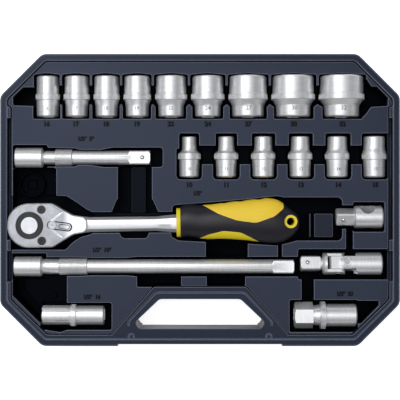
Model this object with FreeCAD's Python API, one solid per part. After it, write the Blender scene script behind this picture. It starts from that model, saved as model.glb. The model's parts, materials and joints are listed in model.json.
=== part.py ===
import FreeCAD, Part
import math
import os

os.makedirs("parts", exist_ok=True)

V = FreeCAD.Vector

# Half-inch drive socket set in a moulded case, lying flat with its tools in place.
# Millimetres. Origin at the middle of the underside, +X to the right,
# +Y away from the carry handle, +Z up out of the tray.

# ---- drive system -------------------------------------------------------
drive_square = 12.7
drive_fit = 0.1
drive_corner = drive_square * 0.65
socket_length = 38.2
hex_bore_depth = 19.0
ball_radius = 2.0
ball_proud = 1.1
ball_fit = 0.05

# size across flats, hex end and band diameters, and how much wider
# than the drive square the drive end is
top_row_sizes = [
    (16, 21.1, 22.6, 8.2),
    (17, 22.8, 24.4, 8.4),
    (18, 23.4, 24.4, 8.5),
    (19, 24.8, 25.9, 9.3),
    (22, 28.6, 30.1, 11.5),
    (24, 29.5, 31.5, 11.8),
    (27, 35.4, 36.7, 17.6),
    (30, 39.0, 40.9, 20.0),
    (32, 40.7, 42.8, 20.4),
]
second_row_sizes = [
    (10, 13.6, 21.4, 6.2),
    (11, 15.0, 22.6, 6.7),
    (12, 16.8, 22.6, 8.1),
    (13, 17.5, 22.6, 7.3),
    (14, 18.6, 22.6, 7.5),
    (15, 20.2, 22.8, 7.9),
]
band_width = 5.4
top_row_gap = 3.85
second_row_pitch = 34.9
top_row_axis_height = 30.0
second_row_axis_height = 31.0

# ---- tools along the case ----------------------------------------------
short_bar_length = 127.0
long_bar_length = 263.0
bar_head_diameter = drive_square + 5.9
bar_shaft_diameter = drive_square + 0.5
bar_knurl_diameter = drive_square + 3.3
bar_axis_height = 32.0
joint_length = 76.5
joint_diameter = 20.6
joint_axis_height = 30.0
joint_roll = -14.0
sliding_head_length = 43.8
sliding_head_diameter = 21.2
sliding_bore_diameter = 14.6
sliding_bore_offset = 29.1
sliding_head_axis_height = 31.0
sliding_head_roll = 29.0
plug_length = 58.5
plug_diameter = drive_square + 5.5
plug_rubber_length = 12.0
plug_axis_height = 30.0
ratchet_head_radius = 20.7
ratchet_head_thickness = 13.0
ratchet_axis_height = 37.5
ratchet_tilt = 0.8
ratchet_length = 253.5
ratchet_square_reach = 16.0

# ---- spacing of the rows -------------------------------------------------
margin_above_top_row = 20.2
gap_between_rows = 18.6
rows_to_ratchet = 46.2
ratchet_to_long_bar = 38.7
long_bar_to_plugs = 46.2
plugs_to_edge = 28.0
margin_left_of_bar = 12.3
gap_bar_to_joint = 6.5
margin_right_of_joint = 15.8
margin_beside_top_row = 31.4
margin_left_of_short_bar = 13.2
gap_bar_to_small_sockets = 24.6
margin_right_of_small_sockets = 22.7
margin_left_of_ratchet = 7.3
gap_ratchet_to_sliding_head = 33.4
margin_right_of_sliding_head = 15.1

# ---- case ---------------------------------------------------------------
case_height = 41.0
tray_top = case_height - 3.0
case_corner = 39.5
shell_floor = 3.0
rim_width = 6.6
rim_step = 3.2
bottom_rim_width = 10.6
tray_gap = 0.9
tray_wall = 1.6
tray_plate = 2.2
ledge_height = 28.5
rest_gap = 0.4
handle_bar_width = 14.5
handle_opening_depth = 27.5
handle_opening_top = 75.6
handle_opening_widest = 121.8
handle_opening_base = 113.4
handle_surround = 11.4
handle_underside = 9.0


def top_row_span():
    total = top_row_gap * (len(top_row_sizes) - 1)
    for row in top_row_sizes:
        total = total + row[2]
    return total


row_d_span = margin_left_of_bar + long_bar_length + gap_bar_to_joint + joint_length + margin_right_of_joint
row_a_span = top_row_span() + 2.0 * margin_beside_top_row
row_b_span = (margin_left_of_short_bar + short_bar_length + gap_bar_to_small_sockets
              + 5.0 * second_row_pitch + margin_right_of_small_sockets)
row_c_span = (margin_left_of_ratchet + ratchet_head_radius + ratchet_length
              + gap_ratchet_to_sliding_head + sliding_head_length + margin_right_of_sliding_head)
case_length = max(row_d_span, row_a_span, row_b_span, row_c_span)
case_width = (margin_above_top_row + socket_length + gap_between_rows + socket_length
              + rows_to_ratchet - 0.9 + ratchet_to_long_bar + long_bar_to_plugs + plugs_to_edge)

left = -case_length / 2.0
right = case_length / 2.0
far = case_width / 2.0
near = -case_width / 2.0

top_row_middle = far - margin_above_top_row - socket_length / 2.0
second_row_middle = top_row_middle - socket_length - gap_between_rows
ratchet_line = second_row_middle - socket_length / 2.0 - rows_to_ratchet + 0.9
long_bar_line = ratchet_line - ratchet_to_long_bar
plug_line = long_bar_line - long_bar_to_plugs
short_bar_line = second_row_middle - 0.7
joint_line = long_bar_line + 2.4
sliding_head_line = ratchet_line + 7.8

short_bar_start = left + margin_left_of_short_bar
long_bar_start = left + margin_left_of_bar
joint_end = right - margin_right_of_joint
joint_start = joint_end - joint_length
sliding_head_end = right - margin_right_of_sliding_head
sliding_head_start = sliding_head_end - sliding_head_length
ratchet_x = left + margin_left_of_ratchet + ratchet_head_radius
left_plug_start = left + 38.2
right_plug_start = right - 39.7 - plug_length
last_small_socket = right - margin_right_of_small_sockets


# ---- plain shapes --------------------------------------------------------
def rounded_face(points, radius):
    # closed outline with every corner turned into an arc that fits its edges
    count = len(points)
    edges = []
    starts = []
    ends = []
    middles = []
    for i in range(count):
        before = V(points[i - 1][0], points[i - 1][1], 0)
        here = V(points[i][0], points[i][1], 0)
        after = V(points[(i + 1) % count][0], points[(i + 1) % count][1], 0)
        wanted = radius
        if len(points[i]) > 2:
            wanted = points[i][2]
        to_before = (before - here).normalize()
        to_after = (after - here).normalize()
        angle = math.acos(max(-1.0, min(1.0, to_before.dot(to_after))))
        reach = wanted / math.tan(angle / 2.0)
        reach = min(reach, 0.48 * (before - here).Length, 0.48 * (after - here).Length)
        actual = reach * math.tan(angle / 2.0)
        if actual < 0.05 or angle > 3.12:
            starts.append(here)
            ends.append(here)
            middles.append(None)
            continue
        bisector = (to_before + to_after).normalize()
        centre = here + bisector * (actual / math.sin(angle / 2.0))
        starts.append(here + to_before * reach)
        ends.append(here + to_after * reach)
        middles.append(centre - bisector * actual)
    for i in range(count):
        if middles[i] is not None:
            edges.append(Part.Arc(starts[i], middles[i], ends[i]).toShape())
        follow = (i + 1) % count
        if (starts[follow] - ends[i]).Length > 0.001:
            edges.append(Part.makeLine(ends[i], starts[follow]))
    return Part.Face(Part.Wire(edges))


def lifted(face, low, high):
    solid = face.extrude(V(0, 0, high - low))
    solid.translate(V(0, 0, low))
    return solid


def slab(points, low, high, radius=0.0):
    return lifted(rounded_face(points, radius), low, high)


def block(x0, x1, y0, y1, z0, z1):
    return Part.makeBox(x1 - x0, y1 - y0, z1 - z0, V(x0, y0, z0))


def rectangle(x0, x1, y0, y1):
    return [(x0, y0), (x1, y0), (x1, y1), (x0, y1)]


def turned(profile):
    # solid of revolution about the X axis from (distance along, radius) pairs
    points = [V(profile[0][0], 0, 0)]
    for along, radius in profile:
        points.append(V(along, 0, radius))
    points.append(V(profile[-1][0], 0, 0))
    points.append(points[0])
    face = Part.Face(Part.makePolygon(points))
    return face.revolve(V(0, 0, 0), V(1, 0, 0), 360)


def upright(x, y, radius, low, high):
    return Part.makeCylinder(radius, high - low, V(x, y, low))


def square_bar(start, end, size):
    # drive square with clipped corners and a bevelled nose on the far side
    half = size / 2.0
    core = block(start, end, -half, half, -half, half)
    nose = 1.1
    reach = size * 0.65
    low = min(start, end)
    high = max(start, end)
    envelope = turned([(low, reach - nose), (low + nose, reach), (high - nose, reach), (high, reach - nose)])
    return core.common(envelope)


def hex_bore(size, start, depth):
    radius = size / math.sqrt(3.0)
    points = []
    for i in range(6):
        angle = math.radians(60.0 * i)
        points.append(V(start, radius * math.cos(angle), radius * math.sin(angle)))
    points.append(points[0])
    return Part.Face(Part.makePolygon(points)).extrude(V(depth, 0, 0))


def square_bore(start, depth):
    half = drive_square / 2.0 + drive_fit
    corners = turned([(start, drive_corner + drive_fit), (start + depth, drive_corner + drive_fit)])
    return block(start, start + depth, -half, half, -half, half).common(corners)


def placed(shape, x, y, z, roll=0.0, turn=0.0):
    copy = shape.copy()
    copy.rotate(V(0, 0, 0), V(1, 0, 0), roll)
    copy.rotate(V(0, 0, 0), V(0, 0, 1), turn)
    copy.translate(V(x, y, z))
    return copy


def join(shapes):
    base = shapes[0]
    if len(shapes) > 1:
        base = base.multiFuse(shapes[1:])
    return base.removeSplitter()


def export(name, shape):
    if shape.ShapeType == "Compound" and len(shape.Solids) == 1:
        shape = shape.Solids[0]
    shape.exportStep("parts/" + name + ".step")


# ---- sockets -------------------------------------------------------------
def socket_body(size, hex_end, band, drive_extra, narrow):
    # drive end at zero, hex end at the full length, along +X
    length = socket_length
    r_hex = hex_end / 2.0
    r_band = band / 2.0
    r_drive = (drive_square + drive_extra) / 2.0
    if narrow:
        band_low = length * 0.44
        band_high = band_low + band_width
        shoulder = 2.4
        profile = [
            (0, r_drive - 1.4),
            (1.1, r_drive - 0.2),
            (band_low - 0.5, r_drive),
            (band_low, r_band),
            (band_high, r_band),
            (band_high + shoulder, r_hex + 0.6),
            (band_high + shoulder + 2.0, r_hex),
            (length - 0.9, r_hex - 0.1),
            (length, r_hex - 0.8),
        ]
    else:
        band_low = length * 0.42
        band_high = band_low + band_width
        profile = [
            (0, r_drive - 1.4),
            (1.1, r_drive - 0.2),
            (band_low * 0.66, r_drive),
            (band_low - 0.4, r_hex - 0.2),
            (band_low, r_band),
            (band_high, r_band),
            (band_high + 0.4, r_hex),
            (length - 1.0, r_hex - 0.1),
            (length, r_hex - 0.9),
        ]
    body = turned(profile)
    lead = (size / 2.0) + 0.9
    body = body.cut(hex_bore(size + 0.1, length - hex_bore_depth, hex_bore_depth + 1.0))
    body = body.cut(square_bore(-1.0, length - hex_bore_depth + 1.05))
    entry = turned([(length - 0.9, lead - 0.5), (length + 0.2, lead + 0.5)])
    return body.cut(entry)


def top_row_places():
    places = []
    x = -top_row_span() / 2.0
    for row in top_row_sizes:
        places.append(x + row[2] / 2.0)
        x = x + row[2] + top_row_gap
    return places


def second_row_places():
    places = []
    count = len(second_row_sizes)
    for i in range(count):
        places.append(last_small_socket - second_row_pitch * (count - 1 - i))
    return places


def make_sockets():
    start = top_row_middle - socket_length / 2.0
    for row, x in zip(top_row_sizes, top_row_places()):
        body = socket_body(row[0], row[1], row[2], row[3], False)
        export("socket_" + str(row[0]), placed(body, x, start, top_row_axis_height, 0.0, 90.0))
    start = second_row_middle - socket_length / 2.0
    for row, x in zip(second_row_sizes, second_row_places()):
        body = socket_body(row[0], row[1], row[2], row[3], True)
        export("socket_" + str(row[0]), placed(body, x, start, second_row_axis_height, 0.0, 90.0))


# ---- balls ---------------------------------------------------------------
def ball_height():
    return drive_square / 2.0 + ball_proud - ball_radius


def ball_seat(x):
    depth = ball_height() - ball_radius - ball_proud - 0.4
    return upright(x, 0.0, ball_radius + ball_fit, depth, drive_square)


def ball_at(x):
    return Part.makeSphere(ball_radius, V(x, 0, ball_height()))


# ---- extension bars ------------------------------------------------------
def extension_bar(length, neck_length, knurl_length, neck_diameter):
    r_head = bar_head_diameter / 2.0
    r_shaft = bar_shaft_diameter / 2.0
    r_knurl = bar_knurl_diameter / 2.0
    r_neck = neck_diameter / 2.0
    head = 25.6
    neck_end = head + 1.2 + neck_length
    knurl_end = neck_end + knurl_length
    square_start = length - 17.2
    profile = [
        (0, r_head - 1.0),
        (0.8, r_head - 0.1),
        (head - 0.6, r_head),
        (head, r_head - 0.6),
        (head + 1.6, r_neck - 0.6),
        (head + 3.6, r_neck),
        (neck_end, r_neck),
        (neck_end + 0.6, r_knurl),
        (knurl_end - 0.8, r_knurl),
        (knurl_end, r_shaft),
        (square_start - 2.4, r_shaft),
        (square_start, r_shaft * 0.86),
    ]
    body = turned(profile)
    body = join([body, square_bar(square_start - 3.0, length, drive_square)])
    body = body.cut(square_bore(-1.0, 17.5))
    return body.cut(ball_seat(length - 7.2))


def make_bars():
    short = extension_bar(short_bar_length, 10.6, 16.9, 12.6)
    export("short_bar", placed(short, short_bar_start, short_bar_line, bar_axis_height))
    ball = ball_at(short_bar_length - 7.2)
    export("short_bar_ball", placed(ball, short_bar_start, short_bar_line, bar_axis_height))
    long_bar = extension_bar(long_bar_length, 15.4, 27.0, 14.2)
    export("long_bar", placed(long_bar, long_bar_start, long_bar_line, bar_axis_height, 180.0))
    ball = ball_at(long_bar_length - 7.2)
    export("long_bar_ball", placed(ball, long_bar_start, long_bar_line, bar_axis_height, 180.0))


# ---- sliding head --------------------------------------------------------
def make_sliding_head():
    radius = sliding_head_diameter / 2.0
    square_length = 16.2
    body = turned([
        (square_length, 7.6),
        (square_length + 1.2, radius - 0.6),
        (square_length + 1.8, radius),
        (sliding_head_length - 1.4, radius),
        (sliding_head_length, radius - 1.4),
    ])
    body = join([body, square_bar(0.0, square_length + 3.0, drive_square)])
    bore = Part.makeCylinder(sliding_bore_diameter / 2.0, 60, V(sliding_bore_offset, -30, 0), V(0, 1, 0))
    body = body.cut(bore)
    body = body.cut(ball_seat(6.7))
    ball = ball_at(6.7)
    x = sliding_head_start
    y = sliding_head_line
    z = sliding_head_axis_height
    export("sliding_head", placed(body, x, y, z, sliding_head_roll))
    export("sliding_head_ball", placed(ball, x, y, z, sliding_head_roll))


# ---- universal joint -----------------------------------------------------
joint_ear_half = 5.6
joint_slot_half = 6.2
joint_block_half = 5.9
joint_pin_radius = 2.9
joint_pin_fit = 0.06
joint_drive_pin = 35.7
joint_socket_pin = 43.0


def joint_drive_yoke():
    radius = joint_diameter / 2.0
    base_end = joint_drive_pin - 10.4
    tip = joint_drive_pin + 6.2
    cup = turned([
        (17.8, 5.6),
        (20.2, 5.6),
        (21.0, radius - 1.2),
        (22.2, radius),
        (tip, radius),
    ])
    slot = block(base_end, tip + 1, -joint_slot_half, joint_slot_half, -20, 20)
    body = cup.cut(slot)
    waist = block(base_end - 0.5, tip + 1, -20, 20, joint_ear_half, 20)
    body = body.cut(waist)
    body = body.cut(block(base_end - 0.5, tip + 1, -20, 20, -20, -joint_ear_half))
    nose = Part.makeCylinder(6.2, 60, V(joint_drive_pin, -30, 0), V(0, 1, 0))
    ears = body.common(join([nose, block(0, joint_drive_pin, -30, 30, -20, 20)]))
    body = join([ears, square_bar(0.0, 18.8, drive_square)])
    pin = Part.makeCylinder(joint_pin_radius, 60, V(joint_drive_pin, -30, 0), V(0, 1, 0))
    body = body.cut(pin)
    return body.cut(ball_seat(6.4))


def joint_socket_yoke():
    radius = joint_diameter / 2.0 + 0.2
    base_start = joint_socket_pin + 10.4
    tip = joint_socket_pin - 6.4
    cup = turned([
        (tip, radius),
        (joint_length - 1.2, radius),
        (joint_length, radius - 1.2),
    ])
    slot = block(tip - 1, base_start, -20, 20, -joint_slot_half, joint_slot_half)
    body = cup.cut(slot)
    body = body.cut(block(tip - 1, base_start - 2.0, joint_ear_half, 20, -20, 20))
    body = body.cut(block(tip - 1, base_start - 2.0, -20, -joint_ear_half, -20, 20))
    nose = upright(joint_socket_pin, 0.0, 6.4, -30, 30)
    body = body.common(join([nose, block(joint_socket_pin, joint_length + 1, -30, 30, -20, 20)]))
    body = body.cut(upright(joint_socket_pin, 0.0, joint_pin_radius, -30, 30))
    return body.cut(square_bore(joint_length - 16.0, 17.0))


def joint_block():
    half = joint_block_half
    x0 = joint_drive_pin - 8.4
    x1 = joint_socket_pin + 8.4
    body = block(x0, x1, -half, half, -half, half)
    first = Part.makeCylinder(8.8, 60, V(joint_drive_pin, -30, 0), V(0, 1, 0))
    second = upright(joint_socket_pin, 0.0, 8.8, -30, 30)
    middle = (joint_drive_pin + joint_socket_pin) / 2.0
    body = body.common(join([first, block(middle, x1 + 1, -30, 30, -30, 30)]))
    body = body.common(join([second, block(x0 - 1, middle, -30, 30, -30, 30)]))
    hole = joint_pin_radius + joint_pin_fit
    body = body.cut(Part.makeCylinder(hole, 60, V(joint_drive_pin, -30, 0), V(0, 1, 0)))
    return body.cut(upright(joint_socket_pin, 0.0, hole, -30, 30))


def make_joint():
    half = joint_diameter / 2.0 - 0.2
    drive_pin = Part.makeCylinder(joint_pin_radius, 2 * half, V(joint_drive_pin, -half, 0), V(0, 1, 0))
    socket_pin = upright(joint_socket_pin, 0.0, joint_pin_radius, -half, half)
    pieces = {
        "joint_drive_yoke": joint_drive_yoke(),
        "joint_socket_yoke": joint_socket_yoke(),
        "joint_block": joint_block(),
        "joint_drive_pin": drive_pin,
        "joint_socket_pin": socket_pin,
        "joint_ball": ball_at(6.4),
    }
    for name in pieces:
        export(name, placed(pieces[name], joint_start, joint_line, joint_axis_height, joint_roll))


# ---- plug sockets --------------------------------------------------------
def plug_plain():
    r = plug_diameter / 2.0
    body = turned([
        (0, r - 0.9),
        (0.9, r),
        (26.2, r),
        (26.8, r + 1.2),
        (32.2, r + 1.2),
        (32.8, r),
        (plug_length - 1.0, r),
        (plug_length, r - 1.0),
    ])
    body = body.cut(hex_bore(15.95, -1.0, 37.0))
    return body.cut(square_bore(plug_length - 16.5, 17.5))


def plug_hex_ended():
    r = plug_diameter / 2.0 + 1.5
    body = turned([
        (17.4, r - 1.4),
        (24.0, r - 0.9),
        (24.6, r + 2.4),
        (29.2, r + 2.4),
        (29.8, r),
        (plug_length - 1.2, r),
        (plug_length, r - 1.2),
    ])
    head = hex_bore(21.6, 0.0, 17.4)
    head = head.common(turned([(0, 10.8), (1.2, 12.6), (17.4, 12.6)]))
    neck = turned([(16.0, 9.2), (20.0, 9.2)])
    body = join([body, head, neck])
    body = body.cut(square_bore(-1.0, 17.5))
    return body.cut(hex_bore(16.95, plug_length - 37.0, 38.0))


def rubber_sleeve(size, start):
    radius = size / 2.0 - 0.05
    sleeve = turned([(start, radius), (start + plug_rubber_length, radius)])
    bore = turned([(start - 1, radius - 2.2), (start + plug_rubber_length + 1, radius - 2.2)])
    return sleeve.cut(bore)


def make_plugs():
    z = plug_axis_height
    export("plug_socket_16", placed(plug_plain(), left_plug_start, plug_line, z))
    export("plug_rubber_16", placed(rubber_sleeve(15.95, 14.0), left_plug_start, plug_line, z))
    export("plug_socket_21", placed(plug_hex_ended(), right_plug_start, plug_line, z))
    start = plug_length - 14.0 - plug_rubber_length
    export("plug_rubber_21", placed(rubber_sleeve(16.95, start), right_plug_start, plug_line, z))


# ---- ratchet -------------------------------------------------------------
# Built about its own drive axis: x along the handle, z measured in the case.
head_low = ratchet_axis_height - ratchet_head_thickness / 2.0
head_high = ratchet_axis_height + ratchet_head_thickness / 2.0
cover_thickness = 2.0
gear_radius = 11.6
gear_teeth = 24
ring_radius = 12.55
button_radius = 7.85
lever_x = 21.6
pawl_x = 18.2
grip_start = 137.0
hang_hole_x = 243.3


def head_outline():
    r = ratchet_head_radius
    return [
        (-r, r, r * 0.98),
        (-r, -r, r * 0.98),
        (21.5, -r, 9.0),
        (40.5, -9.0, 14.0),
        (54.0, -7.0, 6.0),
        (54.0, 7.0, 6.0),
        (40.5, 9.0, 14.0),
        (21.5, r, 9.0),
    ]


def cover_outline(inset):
    r = ratchet_head_radius - inset
    return [
        (-r, r, r * 0.98),
        (-r, -r, r * 0.98),
        (21.3 - inset, -r, 8.0),
        (32.0 - inset, -13.2 + inset, 0.4),
        (16.6 - inset * 0.8, 0.0, 4.0),
        (32.0 - inset, 13.2 - inset, 0.4),
        (21.3 - inset, r, 8.0),
    ]


def shank_section(x, half_width, half_height):
    points = []
    for y, z in [(1.0, 0.32), (0.62, 0.86), (0.0, 1.0), (-0.62, 0.86), (-1.0, 0.32),
                 (-1.0, -0.32), (-0.62, -0.86), (0.0, -1.0), (0.62, -0.86), (1.0, -0.32)]:
        points.append(V(x, y * half_width, ratchet_axis_height + z * half_height))
    points.append(points[0])
    return Part.makePolygon(points)


def ratchet_shank():
    return Part.makeLoft([
        shank_section(40.0, 8.6, 6.2),
        shank_section(56.0, 6.9, 5.6),
        shank_section(118.0, 6.7, 6.0),
        shank_section(grip_start - 4.0, 8.2, 7.0),
        shank_section(grip_start + 0.2, 8.3, 7.2),
    ], True, True)


def handle_tang(start, clearance):
    # round core of the handle that the grip is moulded over
    radius = 5.0 + clearance
    end = hang_hole_x - 34.0 + clearance
    tang = turned([(start, radius), (end, radius)])
    tang.translate(V(0, 0, ratchet_axis_height))
    return tang


def ratchet_body():
    head = slab(head_outline(), head_low, head_high)
    edge = []
    for e in head.Edges:
        box = e.BoundBox
        if abs(box.ZMin - box.ZMax) < 0.01 and box.XMin < 45.0:
            edge.append(e)
    head = head.makeChamfer(0.9, edge)
    body = join([head, ratchet_shank(), handle_tang(grip_start, 0.0)])
    recess = slab(cover_outline(1.3), head_high - cover_thickness, head_high + 1)
    body = body.cut(recess)
    body = body.cut(upright(0, 0, gear_radius + 0.5, head_low + 2.0, head_high))
    body = body.cut(upright(0, 0, 10.4, head_low - 1, head_high))
    pocket = slab([(9, -8.6), (22.8, -8.6), (22.8, 8.6), (9, 8.6)], head_low + 2.0, head_high - 2.0, 2.5)
    body = body.cut(pocket)
    body = body.cut(upright(lever_x, 0, 2.55, head_low + 4, head_high + 1))
    for y in (-1, 1):
        body = body.cut(upright(11.4, y * 14.6, 1.7, head_low + 3.0, head_high + 1))
    return body


def ratchet_cover():
    plate = slab(cover_outline(1.4), head_high - cover_thickness, head_high)
    plate = plate.cut(upright(0, 0, ring_radius + 0.35, head_low, head_high + 1))
    for y in (-1, 1):
        plate = plate.cut(upright(11.4, y * 14.6, 4.0, head_low, head_high + 1))
    return plate


def cover_screws():
    screws = []
    for y in (-1, 1):
        head = upright(11.4, y * 14.6, 3.95, head_high - 1.9, head_high + 0.2)
        stem = upright(11.4, y * 14.6, 1.65, head_low + 4.0, head_high - 1.9)
        screw = join([head, stem])
        drive = hex_bore(2.5, 0, 3.0)
        drive.rotate(V(0, 0, 0), V(0, 1, 0), -90)
        drive.translate(V(11.4, y * 14.6, head_high - 1.2))
        screws.append(screw.cut(drive))
    return Part.makeCompound(screws)


def gear_tooth(index):
    angle = 360.0 / gear_teeth
    root = gear_radius - 1.2
    outline = [(root, -1.1), (gear_radius, -0.3), (gear_radius, 0.3), (root, 1.1)]
    tooth = slab(outline, head_low + 2.4, head_high - 2.4)
    tooth.rotate(V(0, 0, 0), V(0, 0, 1), angle * index)
    return tooth


def ratchet_drive():
    wheel = upright(0, 0, gear_radius - 0.8, head_low + 2.4, head_high - 2.4)
    teeth = []
    for i in range(gear_teeth):
        teeth.append(gear_tooth(i))
    ring = upright(0, 0, ring_radius - 1.6, head_high - 2.5, head_high - 1.6)
    ring = join([ring, upright(0, 0, ring_radius, head_high - 1.65, head_high + 0.5)])
    boss = upright(0, 0, 10.3, head_low - 0.6, head_low + 2.5)
    square = square_bar(-ratchet_square_reach, 2.0, drive_square)
    square.rotate(V(0, 0, 0), V(0, 1, 0), -90)
    square.translate(V(0, 0, head_low))
    body = join([wheel] + teeth + [ring, boss, square])
    body = body.cut(upright(0, 0, button_radius + 0.1, head_high - 2.7, head_high + 1))
    body = body.cut(upright(0, 0, 2.1, head_low - ratchet_square_reach + 4.0, head_high))
    seat_start = V(0.5, 0, head_low - 9.0)
    seat = Part.makeCylinder(ball_radius + ball_fit, drive_square / 2.0, seat_start, V(1, 0, 0))
    return body.cut(seat)


def release_button():
    cap = upright(0, 0, button_radius, head_high - 0.0, head_high + 1.0)
    cap = join([cap, upright(0, 0, 2.0, head_low - 5.6, head_high)])
    return cap


def ratchet_ball():
    return Part.makeSphere(ball_radius, V(ball_height(), 0, head_low - 9.0))


def direction_lever():
    disc = upright(0, 0, 4.1, head_high + 0.35, head_high + 1.9)
    stem = upright(0, 0, 2.5, head_high - 1.7, head_high + 0.4)
    arm = slab([(0, -3.0), (6, -2.6), (6, 2.6), (0, 3.0)], head_high + 0.35, head_high + 1.3)
    pad = slab([(5.0, -2.7), (17.3, -2.7), (17.3, 2.7), (5.0, 2.7)], head_high + 0.35, head_high + 2.6, 2.6)
    lever = join([disc, stem, arm, pad])
    lever.rotate(V(0, 0, 0), V(0, 0, 1), -8.0)
    lever.translate(V(lever_x, 0, 0))
    return lever


def ratchet_pawl():
    outer = slab([(12.4, -7.2), (17.0, -7.2), (20.6, -2.4), (20.6, 2.4), (17.0, 7.2), (12.4, 7.2)],
                 head_low + 2.3, head_high - 2.3)
    return outer.cut(upright(0, 0, gear_radius + 1.1, 0, 60)).cut(
        upright(pawl_x, 0, 1.55, 0, 60))


def pawl_pin():
    return upright(pawl_x, 0, 1.5, head_low + 2.0, head_high - 2.05)


def oval(x, centre, half_width, half_height):
    if half_width >= half_height:
        curve = Part.Ellipse(V(x, centre + half_width, ratchet_axis_height),
                             V(x, centre, ratchet_axis_height + half_height),
                             V(x, centre, ratchet_axis_height))
    else:
        curve = Part.Ellipse(V(x, centre, ratchet_axis_height + half_height),
                             V(x, centre + half_width, ratchet_axis_height),
                             V(x, centre, ratchet_axis_height))
    return Part.Wire([curve.toShape()])


# distance along, far edge, near edge and half thickness of the grip
grip_stations = [
    (140.9, 15.6, -14.0, 11.4),
    (160.0, 17.0, -14.6, 12.4),
    (176.0, 18.0, -15.0, 13.4),
    (190.0, 19.6, -15.6, 14.2),
    (206.0, 21.2, -17.2, 14.8),
    (222.0, 22.4, -19.4, 15.0),
    (232.0, 20.6, -19.6, 14.2),
    (240.0, 15.6, -17.2, 12.4),
    (247.0, 10.0, -12.2, 9.6),
    (251.4, 4.8, -6.4, 6.4),
]


def finger_waves():
    # outline that trims shallow hollows for the fingers into the far edge
    outline = [(130.0, -40.0), (262.0, -40.0), (262.0, 26.0), (232.0, 26.0)]
    for x, edge in ((215.0, 21.0), (198.0, 19.6), (181.0, 17.8)):
        outline.append((x + 8.5, edge + 2.2, 9.0))
        outline.append((x, edge, 12.0))
    outline.append((172.5, 20.0, 9.0))
    outline.append((130.0, 20.0))
    return outline


def grip_solid(inset):
    wires = []
    for x, high, low, thick in grip_stations:
        shrink = inset
        if x > 244.0:
            shrink = inset * 0.7
        wires.append(oval(x, (high + low) / 2.0, (high - low) / 2.0 - shrink, thick - shrink))
    return Part.makeLoft(wires, True, False)


def upper_inlay_prism():
    return slab([
        (161.5, 17.0, 0.3), (172.0, 30.0), (236.0, 30.0), (237.5, 13.0, 5.0), (228.0, 5.4, 7.0),
        (211.0, -0.4, 14.0), (193.0, 2.2, 30.0), (176.0, 8.6, 20.0),
    ], 0.0, 80.0)


def lower_inlay_prism():
    return slab([
        (155.5, -15.6, 0.3), (166.0, -11.0, 10.0), (181.0, -7.4, 14.0), (197.0, -9.2, 14.0),
        (213.8, -18.0, 0.5), (213.8, -30.0), (160.0, -30.0),
    ], 0.0, 80.0)


def grip_pieces():
    outer = grip_solid(0.0).common(slab(finger_waves(), 0.0, 80.0))
    inner = grip_solid(1.7)
    upper = outer.common(upper_inlay_prism()).cut(inner)
    lower = outer.common(lower_inlay_prism()).cut(inner)
    grip = outer.cut(upper_inlay_prism()).cut(lower_inlay_prism())
    grip = join([grip, inner])
    tang = handle_tang(grip_start - 1, 0.05)
    hole = upright(hang_hole_x, 0.4, 6.1, 0, 80)
    grip = grip.cut(tang).cut(hole)
    return grip, upper.cut(hole), lower


def grip_collar():
    ring = Part.Face(oval(grip_start + 0.2, 0.7, 13.5, 10.6)).extrude(V(3.7, 0, 0))
    return ring.cut(handle_tang(grip_start - 1, 0.05))


def hang_ring():
    half = 11.4
    ring = upright(hang_hole_x, 0.4, 6.1, ratchet_axis_height - half, ratchet_axis_height + half)
    return ring.cut(upright(hang_hole_x, 0.4, 3.7, 0, 80))


def make_ratchet():
    grip, upper, lower = grip_pieces()
    pieces = {
        "ratchet_body": ratchet_body(),
        "ratchet_cover": ratchet_cover(),
        "ratchet_screws": cover_screws(),
        "ratchet_drive": ratchet_drive(),
        "ratchet_button": release_button(),
        "ratchet_ball": ratchet_ball(),
        "ratchet_lever": direction_lever(),
        "ratchet_pawl": ratchet_pawl(),
        "ratchet_pawl_pin": pawl_pin(),
        "ratchet_grip": grip,
        "ratchet_upper_inlay": upper,
        "ratchet_lower_inlay": lower,
        "ratchet_collar": grip_collar(),
        "ratchet_hang_ring": hang_ring(),
    }
    for name in pieces:
        shape = pieces[name].copy()
        shape.rotate(V(0, 0, 0), V(0, 0, 1), ratchet_tilt)
        shape.translate(V(ratchet_x, ratchet_line, 0))
        export(name, shape)


# ---- case outlines -------------------------------------------------------
def case_outline():
    c = case_corner
    return [
        (left, near + c), (left + c, near), (right - c, near), (right, near + c),
        (right, far - c), (right - c, far), (left + c, far), (left, far - c),
    ]


step_line = top_row_middle - 10.6


def inner_outline(gap):
    # inside of the rim: wide at the far end, stepping in down both sides
    wide = rim_width + gap
    tight = rim_width + rim_step + gap
    base = bottom_rim_width + gap
    c = case_corner
    k = 0.4142
    return [
        (left + tight, near + c + tight * k, 5.0), (left + c + base * k, near + base, 5.0),
        (right - c - base * k, near + base, 5.0), (right - tight, near + c + tight * k, 5.0),
        (right - tight, step_line + gap, 2.5), (right - wide, step_line + gap + 1.0, 2.0),
        (right - wide, far - c - wide * k, 5.0), (right - c - wide * k, far - wide, 5.0),
        (left + c + wide * k, far - wide, 5.0), (left + wide, far - c - wide * k, 5.0),
        (left + wide, step_line + gap + 1.0, 2.0), (left + tight, step_line + gap, 2.5),
    ]


handle_base = near + 2.0 + handle_bar_width


def handle_opening(grow):
    top = handle_base + handle_opening_depth + grow
    low = handle_base - grow
    middle = handle_base + 5.6
    base_half = handle_opening_base / 2.0 + grow * 0.8
    wide_half = handle_opening_widest / 2.0 + grow * 1.1
    top_half = handle_opening_top / 2.0 + grow * 0.55
    return [
        (-base_half, low, 4.0), (base_half, low, 4.0), (wide_half, middle, 4.0),
        (top_half, top, 6.0), (-top_half, top, 6.0), (-wide_half, middle, 4.0),
    ]


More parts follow.
